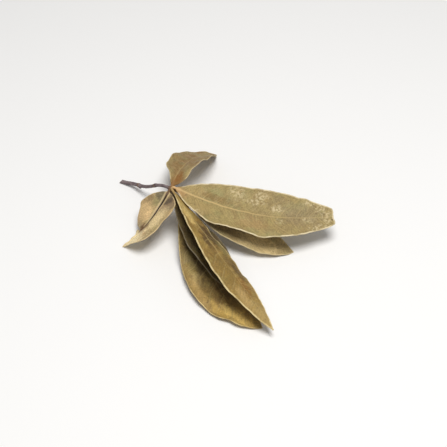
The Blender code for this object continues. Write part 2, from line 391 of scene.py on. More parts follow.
FRONT_LOWER = Leaf(
    node="leaf_front_lower",
    piece="front_lower_leaf",
    root=0.055,
    base=(-1.6, 0.1, -2.7),
    stalk=4,
    heading=(-50.5, -69, -31.5),
    climb=(-14, -10, 1),
    roll=(2, 5, -6.5),
    fold=(3.5, 1.5, 8),
    curl_left=(0, -28, 8),
    curl_right=(0, 8, 11),
    shape=(1.2, 0.83),
    wave=(0.9, 3.2, 0.3),
    dents=((0.85, -1, 0.13, 0.03),),
    seed=15,
    wedge=(0.2, 0.2),
    flat=(2.5, 8.0),
    patches=(
        # Painted shade: this patch and the next two darken the blade where the front top and front middle
        # leaves shade it
        Patch(58.0, 1.5, 14.0, 4.5, (0.42, 0.31, 0.18), 0.65),
        Patch(33.0, -5.5, 10.0, 5.5, (0.32, 0.25, 0.15), 0.8),
        Patch(44.0, -3.5, 9.0, 3.2, (0.32, 0.25, 0.15), 0.65),
        Patch(56.0, -10.5, 14.0, 3.2, (0.70, 0.58, 0.35), 0.8),
        Patch(68.0, -7.0, 8.0, 3.4, (0.76, 0.63, 0.34), 0.8),
        # Painted light: lifts the blade near the tip where the front top leaf's shadow falls
        Patch(77.5, -2.2, 9.5, 5.0, (0.86, 0.73, 0.42), 0.85),
        # Painted shade where the front top leaf shades the blade
        Patch(64.5, -4.6, 6.0, 2.2, (0.48, 0.38, 0.22), 0.6),
        Patch(41.0, -10.5, 7.0, 2.5, (0.66, 0.56, 0.34), 0.6),
        # Painted shade along the front middle leaf's margin
        Patch(41.0, -5.8, 7.0, 2.8, (0.30, 0.23, 0.13), 0.75),
        Patch(46.5, -8.2, 5.5, 2.6, (0.74, 0.65, 0.44), 0.6),
        # Painted shade along the front middle leaf's margin
        Patch(52.0, -7.0, 6.0, 2.4, (0.40, 0.32, 0.17), 0.6),
        # Painted light: lifts the blade where the front top leaf's shadow falls
        Patch(71.5, -3.4, 7.0, 2.6, (0.84, 0.72, 0.42), 0.75),
        Patch(38.0, -7.5, 9.0, 3.5, (0.60, 0.53, 0.30), 0.5),
    ),
)
LEFT_FOLDED = Leaf(
    node="leaf_left_folded",
    piece="left_folded_leaf",
    root=0.04,
    base=(-1.5, -0.8, -0.7),
    stalk=3,
    heading=(-113, -134, -163),
    climb=(-4, -29, -33),
    roll=(-9, 21, 24),
    fold=(18, 13, 13),
    curl_left=(-3, -16, -9),
    curl_right=(0, -23, -13),
    shape=(0.51, 0.98),
    wave=(0.4, 2.2, 0.3),
    seed=16,
    wedge=(1.2, 1.2),
    dents=(
        (0.25, -1, -0.12, 0.08),
        (0.66, -1, 0.8, 0.018),
        (0.76, -1, 0.85, 0.08),
        (0.88, -1, 0.75, 0.08),
        (0.72, 1, -0.6, 0.18),
    ),
    rib_shift=0.6,
    # The wide, near-black midrib line is painted shade in the deep crease
    rib_fade=(0.54, 0.61, 0.05),
    rib_width=(0.7, 0.6),
    crease=0.9,
    patches=(
        Patch(3.5, -2.5, 6.0, 5.0, (0.58, 0.54, 0.36), 0.7),
        Patch(9.0, 3.5, 5.0, 4.0, (0.57, 0.50, 0.40), 0.6),
        # Painted shade: this patch and the next darken the blade by the knot where the front top leaf
        # shades it
        Patch(3.2, 3.4, 4.0, 3.0, (0.34, 0.29, 0.24), 0.9),
        Patch(5.5, 6.5, 3.5, 2.5, (0.50, 0.43, 0.34), 0.7),
        # Painted shade: this patch and the next darken the upper margin near the knot, where neighbouring
        # leaves shade it
        Patch(1.2, -2.6, 4.5, 3.4, (0.37, 0.33, 0.24), 0.75),
        Patch(6.0, -7.6, 5.0, 3.0, (0.50, 0.42, 0.29), 0.65),
        Patch(13.5, -7.5, 8.0, 4.5, (0.88, 0.75, 0.54), 0.8),
        Patch(14.5, 4.6, 8.0, 4.2, (0.94, 0.84, 0.63), 0.8),
        Patch(29.0, 2.5, 9.0, 9.0, (1.0, 0.92, 0.72), 0.95),
        Patch(14.0, -3.2, 5.5, 2.2, (0.94, 0.80, 0.58), 0.75),
        Patch(20.6, 0.0, 4.2, 3.2, (0.36, 0.23, 0.09), 0.95),
    ),
)
BACK = Leaf(
    node="leaf_back",
    piece="back_leaf",
    root=0.03,
    base=(-0.3, 1.9, 0.5),
    stalk=3,
    heading=(73.5, 63.5, 43),
    climb=(5.5, -23, -33),
    roll=(-10, -14, -10),
    fold=(10, 8, 2),
    curl_left=(0, 6, 6),
    curl_right=(0, 8, 8),
    shape=(0.7, 0.9),
    wave=(0.6, 2.4, 0.6),
    dents=((0.1, 1, 0.3, 0.1),),
    seed=17,
    wedge=(0.55, 3.0),
    wedge_end=(9.0, 16.0),
    wedge_limit=7.5,
    wedge_lead=1.0,
    flat=(-0.9, 0.4),
    patches=(
        # Painted shade on the curled inner surface by the knot
        Patch(1.5, -2.0, 7.0, 3.5, (0.55, 0.37, 0.16), 0.85),
        # Painted light on the side of the blade that faces the light
        Patch(5.0, -7.5, 6.0, 3.0, (0.72, 0.63, 0.42), 0.8),
    ),
)


def along(triple, u):
    """A smooth run through a triple's base, middle and tip values."""
    base, middle, tip = triple
    return base * (1 - u) * (1 - 2 * u) + 4 * middle * u * (1 - u) + tip * u * (2 * u - 1)


def smooth_step(x, start, end):
    """A smooth change from 0 to 1 as x goes from start to end."""
    t = np.clip((x - start) / (end - start), 0, 1)
    return t * t * (3 - 2 * t)


def unit(vectors):
    return vectors / np.linalg.norm(vectors, axis=-1, keepdims=True)


def ripples(x, y, length, seed, count=9):
    """Uneven crossing waves of about that length, near one unit high."""
    draw = np.random.default_rng(seed)
    total = 0.0
    for _ in range(count):
        turn = draw.uniform(0, 2 * pi)
        reach = length * draw.uniform(0.65, 1.6)
        phase = draw.uniform(0, 2 * pi)
        total = total + np.sin(2 * pi * (x * np.cos(turn) + y * np.sin(turn)) / reach + phase)
    return total / np.sqrt(count)


def linear(colour):
    """Shader values of a colour given as it looks on screen."""
    values = np.array(tuple(colour))
    shaded = np.where(values <= 0.04045, values / 12.92, ((values + 0.055) / 1.055) ** 2.4)
    return (*shaded, 1.0)


def deselect_all():
    for other in bpy.context.view_layer.objects:
        other.select_set(False)


def add_grid(name, columns, rows):
    """A flat grid two units wide and long, which is the start of every leaf and of the twig."""
    deselect_all()
    bpy.ops.mesh.primitive_grid_add(x_subdivisions=columns - 1, y_subdivisions=rows - 1, size=2)
    piece = bpy.context.object
    piece.name = name
    piece.data.name = name
    return piece


def vertex_places(piece):
    flat = np.empty(len(piece.data.vertices) * 3)
    piece.data.vertices.foreach_get("co", flat)
    return flat.reshape(-1, 3)


def place_vertices(piece, points):
    """Moves a piece's vertices to points given in millimetres from the whorl."""
    piece.data.vertices.foreach_set("co", ((points + WHORL) * MM).ravel())
    piece.data.update()


def keep_values(piece, name, values):
    """Stores one vector for each vertex, which the materials read."""
    attribute = piece.data.attributes.new(name, "FLOAT_VECTOR", "POINT")
    attribute.data.foreach_set("vector", values.astype(np.float32).ravel())


def grid_cells(piece, rows, columns):
    """The row and column of each vertex of a piece that still has its flat grid's places."""
    start = vertex_places(piece)
    i = np.rint((start[:, 1] + 1) / 2 * (rows - 1)).astype(int)
    j = np.rint((start[:, 0] + 1) / 2 * (columns - 1)).astype(int)
    return i, j


def shade(piece):
    """Smooth shading, except over sharp edges."""
    deselect_all()
    piece.select_set(True)
    bpy.context.view_layer.objects.active = piece
    bpy.ops.object.shade_smooth_by_angle(angle=radians(50))
    piece.select_set(False)


def leaf_frames(leaf, length, u):
    """The midrib's points and course, and the directions across the blade and out of its upper face."""
    fine = np.linspace(0, 1, SPINE_STEPS + 1)
    heading = np.radians(along(leaf.heading, fine))
    climb = np.radians(along(leaf.climb, fine))
    level = np.stack([np.cos(heading), np.sin(heading), 0 * fine], -1)
    course = level * np.cos(climb)[:, None] + np.array([0, 0, 1]) * np.sin(climb)[:, None]
    steps = (course[1:] + course[:-1]) / 2 * length / SPINE_STEPS
    spine = np.concatenate([[leaf.base], leaf.base + np.cumsum(steps, 0)])

    heading = np.interp(u, fine, heading)
    points = np.stack([np.interp(u, fine, spine[:, k]) for k in range(3)], -1)
    course = np.stack([np.interp(u, fine, course[:, k]) for k in range(3)], -1)
    roll = np.radians(along(leaf.roll, u))[:, None]
    across = np.stack([-np.sin(heading), np.cos(heading), 0 * heading], -1)
    up = np.cross(course, across)
    rolled_across = across * np.cos(roll) + up * np.sin(roll)
    rolled_up = up * np.cos(roll) - across * np.sin(roll)
    return points, course, rolled_across, rolled_up


def root_frames(leaf, length):
    """The stalk's hidden start: a bend out of the twig that meets the stalk's own course."""
    points, course, across, up = leaf_frames(leaf, length, np.array([0.0]))
    base = points[0]
    start = twig_centre(np.array([leaf.root]))[0]
    reach = np.linalg.norm(base - start)
    t = np.linspace(0, 1, ROOT_ROWS, endpoint=False)[:, None]
    out = start + (base - start) / 3
    back = base - course[0] * reach / 3
    bend = (1 - t) ** 3 * start + 3 * t * (1 - t) ** 2 * out + 3 * t**2 * (1 - t) * back + t**3 * base
    way = 3 * (1 - t) ** 2 * (out - start) + 6 * t * (1 - t) * (back - out) + 3 * t**2 * (base - back)
    way = unit(way)
    side = unit(np.cross(up[0], way))
    return bend, side, np.cross(way, side), -reach * (1 - t[:, 0])


def half_width(leaf, width, b, from_knot, side):
    """Half the leaf's width on one side, in millimetres."""
    widen, narrow = leaf.shape
    peak = widen / (widen + narrow)
    b = b - leaf.cut * smooth_step(b, TIP_START, 1.0)
    half = width / 2 * b**widen * (1 - b) ** narrow / (peak**widen * (1 - peak) ** narrow)
    for place, dent_side, depth, length in leaf.dents:
        if side == dent_side:
            half = half * (1 - depth * np.exp(-(((b - place) / length) ** 2)))
    slope = leaf.wedge[0 if side > 0 else 1]
    run = np.maximum(from_knot + leaf.wedge_lead, 0)
    wedge = leaf.wedge_limit * (1 - np.exp(-slope * run / leaf.wedge_limit))
    wedge_start, wedge_stop = leaf.wedge_end
    half = half + np.maximum(wedge - half, 0) * smooth_step(from_knot, wedge_stop, wedge_start)
    ragged = RAGGED * ripples(from_knot, 0, RAGGED_LENGTH, leaf.seed + RAGGED_SEED + side)
    half = half + ragged * smooth_step(from_knot, 5, 12)
    least = np.where(b > TIP_START, TIP_HALF_WIDTH, STALK_RADIUS)
    return np.maximum(half, least)


def margin_wave(leaf, b, side):
    """How far the margin rises and dips, in millimetres. It fades towards both ends."""
    height, count, phase = leaf.wave
    offset, second_offset = (0.37, 0.11) if side > 0 else (0.0, 0.6)
    first = np.sin(2 * pi * (count * b + phase + offset))
    second = np.sin(2 * pi * (1.9 * count * b + 1.7 * phase + second_offset))
    return height * np.sqrt(np.sin(pi * b)) * (first + second / 2)


def leaf_form(leaf, length, width, vein_pairs):
    """Both faces of a leaf, as rows along it and columns across it, and the values its material reads."""
    blade_length = length - leaf.stalk
    stalk_share = leaf.stalk / length
    blade_rows = round(blade_length / ROW_STEP)
    stalk_u = np.linspace(0, stalk_share, STALK_ROWS, endpoint=False)
    u = np.concatenate([stalk_u, np.linspace(stalk_share, 1, blade_rows + 1)])
    points, course, across, up = leaf_frames(leaf, length, u)
    root_points, root_across, root_up, root_along = root_frames(leaf, length)
    points = np.concatenate([root_points, points])
    course = np.concatenate([0 * root_points, course])
    across = np.concatenate([root_across, across])
    up = np.concatenate([root_up, up])
    place = np.concatenate([root_along, u * length]) - leaf.stalk
    u = np.concatenate([0 * root_along, u])
    b = np.clip(place / blade_length, 0, 1)

    even = np.linspace(0, 1, HALF_COLUMNS + 1)
    shares = even - COLUMN_CROWDING * np.sin(2 * pi * even) / (2 * pi)
    columns = []
    for side, curl in ((-1, leaf.curl_right), (1, leaf.curl_left)):
        half = half_width(leaf, width, b, place + leaf.stalk, side)
        fold = np.radians(along(leaf.fold, u))
        bend = np.radians(along(curl, u))
        wave = margin_wave(leaf, b, side)
        out = np.zeros_like(u)
        rise = np.zeros_like(u)
        for step, share in enumerate(shares):
            if step:
                angle = fold + bend * (share + shares[step - 1]) / 2
                out = out + np.cos(angle) * half * (share - shares[step - 1])
                rise = rise + np.sin(angle) * half * (share - shares[step - 1])
            spot = points + across * (side * out)[:, None] + up * (rise + share**2 * wave)[:, None]
            if step or side > 0:
                columns.append((side * share, spot, side * share * half, (1 - share) * half))
    columns.sort(key=lambda column: column[0])
    share = np.array([column[0] for column in columns])[None, :]
    surface = np.stack([column[1] for column in columns], 1)
    sideways = np.stack([column[2] for column in columns], 1)
    to_margin = np.stack([column[3] for column in columns], 1)
    to_margin = np.minimum(to_margin, (1 - b[:, None]) * blade_length * 0.8)
    b = b[:, None]
    place = place[:, None]
    from_knot = place + leaf.stalk

    # Side veins: whole numbers of the phase, bending forwards on their way to the margin
    from_rib = sideways - leaf.rib_shift * np.sin(pi * b) ** leaf.rib_bow
    away = np.abs(from_rib)
    spacing = blade_length / vein_pairs
    phase = (place - VEIN_SLANT * away - VEIN_CURVE * away**2) / spacing
    phase = phase + np.where(from_rib > 0, VEIN_STAGGER, 0.0)
    phase = phase + VEIN_UNEVENNESS * ripples(place, sideways, VEIN_UNEVEN_LENGTH, leaf.seed + VEIN_SEED)
    to_vein = np.abs((phase + 0.5) % 1 - 0.5) * spacing
    shown = smooth_step(away, 0.2, 1.0) * smooth_step(to_margin, 0.6, 2.5)
    shown = shown * smooth_step(b, 0.02, 0.07) * smooth_step(b, 1.0, 0.94)
    vein = np.exp(-((to_vein / VEIN_WIDTH) ** 2)) * shown

    # Cockles, small crinkles and the crease along the midrib move both faces together
    free = smooth_step(from_knot, 3, 16)
    cockle = COCKLE * ripples(place, sideways, COCKLE_LENGTH, leaf.seed)
    crinkle = CRINKLE * ripples(place, sideways, CRINKLE_LENGTH, leaf.seed + CRINKLE_SEED)
    pillow = -PILLOW * np.cos(2 * pi * phase) * shown
    crease = -leaf.crease * np.exp(-((away / CREASE_WIDTH) ** 2))
    crease = crease * smooth_step(from_knot, 1, 6) * smooth_step(b, 1.0, 0.8)
    broken = BROKEN * leaf.cut * ripples(sideways, 0, BROKEN_LENGTH, leaf.seed + BROKEN_SEED)
    broken = broken * smooth_step(b, 0.95, 1.0)
    surface = surface + course[:, None] * broken[..., None]
    normals = surface_normals(surface)
    surface = surface + normals * ((cockle + crinkle + pillow) * free + crease)[..., None]
    normals = surface_normals(surface)

    rib_width = RIB_BASE_WIDTH + (RIB_TIP_WIDTH - RIB_BASE_WIDTH) * b
    rib = np.exp(-((away / rib_width) ** 2)) * smooth_step(b, 1.03, 0.6)
    rim = RIM_BULGE * np.exp(-(((to_margin - leaf.rim / 2) / (leaf.rim / 2)) ** 2))
    edge = 1 - EDGE_THINNING * smooth_step(to_margin, 0.2, 0.0)
    thick_base = 1 + STALK_THICKENING * smooth_step(from_knot, 10, 1)
    upper = (BLADE_HALF_THICKNESS + RIB_UPPER * thick_base * rib + VEIN_UPPER * vein + rim) * edge
    lower = (BLADE_HALF_THICKNESS + RIB_LOWER * rib + VEIN_LOWER * vein + rim) * edge

    # The stalk is round, and widens where it leaves the twig
    flat = smooth_step(from_knot, *leaf.flat)[..., None]
    radius = STALK_RADIUS + STALK_FLARE * smooth_step(place, 1.5 - leaf.stalk, -leaf.stalk)
    turn = share * (pi / 2 - STALK_GAP_ANGLE)
    sidestep = across[:, None] * (radius * np.sin(turn))[..., None]
    lift = up[:, None] * (radius * np.cos(turn))[..., None]
    beside = points[:, None] + sidestep
    top = (surface + normals * upper[..., None]) * flat + (beside + lift) * (1 - flat)
    bottom = (surface - normals * lower[..., None]) * flat + (beside - lift) * (1 - flat)
    bottom[..., 2] = np.maximum(bottom[..., 2], FLOOR)
    top[..., 2] = np.maximum(top[..., 2], FLOOR + 1.6 * BLADE_HALF_THICKNESS)

    everywhere = np.ones_like(away)
    places = np.stack([place * everywhere, from_rib, to_margin], -1)
    veins = np.stack([phase, everywhere, b * everywhere], -1)
    return top, bottom, places, veins


def surface_normals(surface):
    """Directions out of the upper face, one for each point."""
    return unit(np.cross(np.gradient(surface, axis=0), np.gradient(surface, axis=1)))


def add_leaf(leaf, settings):
    """One leaf as a closed shell: a grid given thickness, then laid on the leaf's own course."""
    length = settings.length / MM
    width = settings.width / MM
    top, bottom, places, veins = leaf_form(leaf, length, width, settings.vein_pairs)
    rows, columns = top.shape[:2]
    piece = add_grid(leaf.piece, columns, rows)
    thickness = piece.modifiers.new("Thickness", "SOLIDIFY")
    thickness.thickness = 0.01
    thickness.offset = 0
    bpy.ops.object.modifier_apply(modifier=thickness.name)
    if len(piece.data.vertices) != rows * columns * 2:
        raise RuntimeError(f"{leaf.piece}: the grid has {len(piece.data.vertices)} vertices")
    i, j = grid_cells(piece, rows, columns)
    # Rows run away from the knot and columns to the left, so the grid's own top is the leaf's underside
    upper = vertex_places(piece)[:, 2] < 0
    place_vertices(piece, np.where(upper[:, None], top[i, j], bottom[i, j]))
    keep_values(piece, "leaf_place", places[i, j])
    values = veins[i, j]
    values[:, 1] = upper
    keep_values(piece, "leaf_veins", values)
    shade(piece)
    piece.data.materials.append(leaf_material(leaf, settings))
    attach(piece, BODY)
    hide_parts(leaf.node)


def twig_centre(s):
    """The twig's centre line, from its tip at 0 to its cut end at 1, with a slight bend at each scar."""
    s = s[:, None]
    ends = (1 - s) ** 3 * np.array(TWIG_TIP) + s**3 * np.array(TWIG_CUT_END)
    handles = 3 * s * (1 - s) ** 2 * np.array(TWIG_FIRST_HANDLE)
    handles = handles + 3 * s**2 * (1 - s) * np.array(TWIG_SECOND_HANDLE)
    sway = np.sin(3 * pi * s) * np.sin(pi * s) * np.array([0.35, 0.45, 0.25])
    sway = sway + np.exp(-(((s - 0.28) / 0.16) ** 2)) * np.array([0, 0.2, 0.45])
    return ends + handles + sway


def twig_form(tip_radius, cut_radius):
    """The twig's skin as rings round its centre line, then rings inwards over the slanting cut."""
    dome = DOME * (1 - np.cos(np.linspace(0, pi / 2, DOME_RINGS)))
    s = np.concatenate([dome, np.linspace(DOME, 1, TWIG_RINGS)[1:]])
    inward = np.linspace(1, 0, CUT_RINGS + 1)[1:]
    centre = twig_centre(s)
    course = unit(np.gradient(centre, s, axis=0))
    side = unit(np.cross(course, [0, 0, 1]))
    top = np.cross(side, course)

    angle = np.linspace(0, 2 * pi, TWIG_SIDES + 1)[None, :]
    row = s[:, None]
    radius = tip_radius + (cut_radius - tip_radius) * row
    radius = radius + WHORL_SWELLING * np.exp(-(((row - WHORL_MIDDLE) / WHORL_REACH) ** 2)) + 0 * angle
    for count, scar in enumerate(SCARS):
        radius = radius + SCAR_SWELLING * np.exp(-(((row - scar) / SCAR_REACH) ** 2))
        turn = np.angle(np.exp(1j * (angle - 1.9 - 2.4 * count)))
        bud = np.exp(-(((row - scar + 0.03) / BUD_REACH) ** 2) - (turn / BUD_TURN) ** 2)
        radius = radius + BUD_HEIGHT * bud
    # Three sets of winding ridges, and small knobs
    ridge = np.sin(5 * angle + 2.0 * np.sin(9 * row))
    ridge = ridge + 0.7 * np.sin(11 * angle + 3.0 * np.sin(14 * row) + 1.0)
    ridge = ridge + 0.5 * np.sin(17 * angle - 4.0 * np.sin(23 * row))
    round_about = np.cos(angle) + 0.7 * np.sin(2 * angle)
    knobs = ripples(row * TWIG_LENGTH, round_about, KNOB_LENGTH, KNOB_SEED)
    radius = radius + BARK_WRINKLE * (0.5 * ridge + 0.6 * knobs)
    radius = radius * np.sqrt(1 - np.clip(1 - row / DOME, 0, 1) ** 2)
    cut = smooth_step(row, CUT_START, 1.0) * CUT_SLANT * np.sin(angle) * radius
    rings = centre[:, None] + side[:, None] * (radius * np.cos(angle))[..., None]
    rings = rings + top[:, None] * (radius * np.sin(angle))[..., None] - course[:, None] * cut[..., None]
    rings[..., 2] = np.maximum(rings[..., 2], FLOOR)

    share = inward[:, None, None]
    middle = rings[-1].mean(0)
    face = middle + (rings[-1] - middle)[None] * share
    face = face - course[-1] * CUT_HOLLOW * (1 - share**2)
    skin = np.concatenate([rings, face])
    straight = np.stack([row * TWIG_LENGTH + 0 * angle, radius * np.cos(angle), radius * np.sin(angle)], -1)
    inner = straight[-1][None] * np.array([1, 0, 0])
    inner = inner + straight[-1][None] * share * np.array([0, 1, 1])
    on_cut = np.concatenate([0 * s, 1 + 0 * inward])[:, None] + 0 * angle
    depth = np.concatenate([1 + 0 * s, inward])[:, None] + 0 * angle
    return skin, np.concatenate([straight, inner]), np.stack([on_cut, depth, 0 * depth], -1)


def add_twig(settings):
    """The twig as one closed skin: a grid wrapped round its centre line and sewn up."""
    skin, straight, cut = twig_form(settings.tip_radius / MM, settings.cut_radius / MM)
    rows, columns = skin.shape[:2]
    piece = add_grid("cut_twig", columns, rows)
    i, j = grid_cells(piece, rows, columns)
    place_vertices(piece, skin[i, j])
    keep_values(piece, "twig_place", straight[i, j])
    keep_values(piece, "twig_cut", cut[i, j])
    bpy.ops.object.mode_set(mode="EDIT")
    bpy.ops.mesh.select_all(action="SELECT")
    bpy.ops.mesh.remove_doubles(threshold=0.001 * MM)
    bpy.ops.mesh.normals_make_consistent(inside=False)
    bpy.ops.object.mode_set(mode="OBJECT")
    shade(piece)
    piece.data.materials.append(twig_material(settings))
    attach(piece, BODY)
    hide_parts("twig")


class Recipe:
    """The nodes of one material, with short ways to add and join them."""

    def __init__(self, name):
        self.material = bpy.data.materials.new(name)
        self.material.use_nodes = True
        self.tree = self.material.node_tree
        self.shader = self.tree.nodes["Principled BSDF"]

    def put(self, socket, value):
        """Joins a socket to another node, or gives it a constant."""
        if isinstance(value, bpy.types.NodeSocket):
            self.tree.links.new(value, socket)
        elif isinstance(value, tuple) and len(value) == 3 and socket.type == "RGBA":
            socket.default_value = linear(value)
        else:
            socket.default_value = value

    def add(self, kind, **settings):
        node = self.tree.nodes.new(kind)
        for name, value in settings.items():
            setattr(node, name, value)
        return node

    def math(self, operation, first, second=0.0):
        node = self.add("ShaderNodeMath", operation=operation)
        self.put(node.inputs[0], first)
        self.put(node.inputs[1], second)
        return node.outputs[0]

    def vector_math(self, operation, first, second=(0, 0, 0)):
        node = self.add("ShaderNodeVectorMath", operation=operation)
        self.put(node.inputs[0], first)
        self.put(node.inputs[1], second)
        return node.outputs["Value" if operation == "LENGTH" else "Vector"]

    def step(self, value, start, end, low=0.0, high=1.0):
        """A smooth change from low to high as the value goes from start to end."""
        node = self.add("ShaderNodeMapRange", interpolation_type="SMOOTHSTEP")
        for socket, given in zip(node.inputs, (value, start, end, low, high)):
            self.put(socket, given)
        return node.outputs[0]

    def mix(self, share, first, second):
        node = self.add("ShaderNodeMix", data_type="RGBA")
        self.put(node.inputs[0], share)
        self.put(node.inputs[6], first)
        self.put(node.inputs[7], second)
        return node.outputs[2]

    def vector(self, attribute):
        """A vector stored on the mesh, and its three parts."""
        node = self.add("ShaderNodeAttribute", attribute_name=attribute)
        parts = self.add("ShaderNodeSeparateXYZ")
        self.put(parts.inputs[0], node.outputs["Vector"])
        return node.outputs["Vector"], parts.outputs[0], parts.outputs[1], parts.outputs[2]

    def join(self, x, y, z=0.0):
        node = self.add("ShaderNodeCombineXYZ")
        for socket, value in zip(node.inputs, (x, y, z)):
            self.put(socket, value)
        return node.outputs[0]

    def noise(self, vector, scale, detail=3.0, roughness=0.55, dimensions="2D"):
        node = self.add("ShaderNodeTexNoise", noise_dimensions=dimensions)
        self.put(node.inputs["Vector"], vector)
        node.inputs["Scale"].default_value = scale
        node.inputs["Detail"].default_value = detail
        node.inputs["Roughness"].default_value = roughness
        return node.outputs["Fac"]

    def cells(self, vector, scale, feature):
        node = self.add("ShaderNodeTexVoronoi", voronoi_dimensions="2D", feature=feature)
        self.put(node.inputs["Vector"], vector)
        node.inputs["Scale"].default_value = scale
        return node

    def brighten(self, colour, value):
        node = self.add("ShaderNodeHueSaturation")
        self.put(node.inputs["Color"], colour)
        self.put(node.inputs["Value"], value)
        return node.outputs[0]

    def finish(self, colour, roughness, height, depth, specular):
        """Colour, roughness and relief into the shader. Depth is in millimetres."""
        bump = self.add("ShaderNodeBump")
        bump.inputs["Strength"].default_value = 0.8
        bump.inputs["Distance"].default_value = depth * MM
        self.put(bump.inputs["Height"], height)
        self.put(self.shader.inputs["Base Color"], colour)
        self.put(self.shader.inputs["Roughness"], roughness)
        self.put(self.shader.inputs["Normal"], bump.outputs["Normal"])
        self.shader.inputs["Specular IOR Level"].default_value = specular
        return self.material


def patch_mask(r, place, patch, ragged):
    """Where a patch shows on a leaf: an oval with a ragged, soft edge."""
    centred = r.vector_math("SUBTRACT", place, (patch.along, patch.across, 0))
    scaled = r.vector_math("MULTIPLY", centred, (1 / patch.length, 1 / patch.width, 0))
    reach = r.math("ADD", r.vector_math("LENGTH", scaled), r.math("MULTIPLY", ragged, 1.1))
    return r.step(reach, 1.7, 0.9, high=patch.strength)


def leaf_material(leaf, settings):
    """A dried leaf: mottled blade, pale midrib, side veins, net of small veins and cream margin."""
    r = Recipe(leaf.piece.replace("_", " ").capitalize())
    place, lengthwise, sideways, to_margin = r.vector("leaf_place")
    _, phase, upper, b = r.vector("leaf_veins")
    away = r.math("ABSOLUTE", sideways)
    shifted = r.add("ShaderNodeMapping")
    r.put(shifted.inputs["Vector"], place)
    shifted.inputs["Location"].default_value = (leaf.seed * 37.0, leaf.seed * 53.0, 0)
    flat = shifted.outputs[0]

    # Broad clouds, smaller stains, and the leaf's own patches, among them painted shade and painted light
    broad = r.noise(flat, CLOUD_SCALE, detail=2)
    middling = r.noise(flat, BLOTCH_SCALE)
    fine = r.noise(flat, GRAIN_SCALE, detail=5, roughness=0.7)
    colour = r.mix(r.step(broad, 0.38, 0.62), settings.main_colour[:], settings.second_colour[:])
    stained = r.step(r.noise(flat, STAIN_SCALE), 0.52, 0.72, high=0.5)
    colour = r.mix(stained, colour, settings.tint_colour[:])
    colour = r.brighten(colour, r.step(middling, 0.30, 0.70, 0.90, 1.10))
    for patch in leaf.patches:
        colour = r.mix(patch_mask(r, place, patch, middling), colour, patch.colour)

    # Streaks that run with the side veins, and a fine grain
    streak_place = r.join(r.math("MULTIPLY", phase, 9.0), r.math("MULTIPLY", sideways, 0.16))
    streak = r.noise(streak_place, 1.0, detail=3, roughness=0.6)
    colour = r.brighten(colour, r.step(streak, 0.32, 0.68, 0.90, 1.10))
    colour = r.brighten(colour, r.step(fine, 0.30, 0.70, 0.80, 1.19))

    # Scurf and dust, in crumbs that lie closer together in the middle of a patch
    grains = r.noise(flat, CRUMB_SCALE, detail=4, roughness=0.75)
    for bloom in leaf.blooms:
        mask = patch_mask(r, place, bloom, middling)
        crumbs = r.step(r.math("ADD", grains, r.math("MULTIPLY", mask, 0.14)), 0.53, 0.66)
        colour = r.mix(r.math("MULTIPLY", mask, crumbs), colour, bloom.colour)

    # Small brown specks, in some cells of a wide net
    specks = r.cells(flat, SPECK_SCALE, "F1")
    picked = r.step(specks.outputs["Color"], 0.66, 0.70)
    uneven = r.math("ADD", specks.outputs["Distance"], r.math("MULTIPLY", fine, 0.1))
    dot = r.step(uneven, 0.19, 0.12)
    colour = r.mix(r.math("MULTIPLY", r.math("MULTIPLY", picked, dot), 0.45), colour, BROWN)

    # The net of small veins, finer inside coarser
    shift = r.join(r.math("MULTIPLY", middling, 1.6), r.math("MULTIPLY", fine, 0.5))
    bent = r.vector_math("ADD", flat, shift)
    net = r.step(r.cells(bent, NET_SCALE, "DISTANCE_TO_EDGE").outputs["Distance"], 0.11, 0.02)
    small_cells = r.cells(bent, SMALL_NET_SCALE, "DISTANCE_TO_EDGE")
    small_net = r.step(small_cells.outputs["Distance"], 0.14, 0.02)
    colour = r.mix(r.math("MULTIPLY", net, 0.14), colour, settings.rib_colour[:])

    # Side veins, at whole numbers of the phase
    halfway = r.math("ADD", phase, 0.5)
    to_vein = r.math("ABSOLUTE", r.math("SUBTRACT", r.math("FRACT", halfway), 0.5))
    vein = r.step(to_vein, 0.055, 0.015)
    vein = r.math("MULTIPLY", vein, r.step(to_margin, 0.6, 2.4))
    vein = r.math("MULTIPLY", vein, r.step(b, 0.02, 0.06))
    colour = r.mix(r.math("MULTIPLY", vein, settings.vein_strength), colour, settings.rib_colour[:])

    # Midrib, with pale lips beside it where the leaf is creased. On the creased leaf the pale lips are a
    # painted highlight where the folded halves catch light, and the near-black rib colour is painted shade
    # in the crease
    rib_width = r.step(b, 0.0, 1.0, *leaf.rib_width)
    to_rib = r.math("DIVIDE", away, rib_width)
    rib = r.math("MULTIPLY", r.step(to_rib, 1.3, 0.75), r.step(fine, 0.2, 0.5, 0.72, 1.0))
    fade_start, fade_end, left = leaf.rib_fade
    strength = settings.rib_strength
    shown = r.step(b, fade_start, fade_end, strength, strength * left)
    if leaf.crease > 0.5:
        beside = r.math("MULTIPLY", r.step(to_rib, 2.6, 1.7), shown)
        colour = r.mix(r.math("MULTIPLY", beside, 0.5), colour, settings.rim_colour[:])
    colour = r.mix(r.math("MULTIPLY", rib, shown), colour, settings.rib_colour[:])

    # Margin and stalk
    ragged = r.math("ADD", to_margin, r.math("MULTIPLY", r.math("SUBTRACT", middling, 0.5), 0.5))
    rim = r.step(ragged, leaf.rim * 1.35, leaf.rim * 0.7)
    rim = r.math("MULTIPLY", rim, r.step(r.noise(flat, RIM_FADE_SCALE, detail=2), 0.35, 0.6, 0.5, 1.0))
    rim = r.math("MULTIPLY", rim, r.step(b, 0.0, 0.03, 0.0, 0.85))
    colour = r.mix(rim, colour, settings.rim_colour[:])
    stalk = r.math("MULTIPLY", r.step(lengthwise, 3.0, -2.5), r.step(away, 1.3, 0.5))
    colour = r.mix(r.math("MULTIPLY", stalk, 0.9), colour, settings.stalk_colour[:])

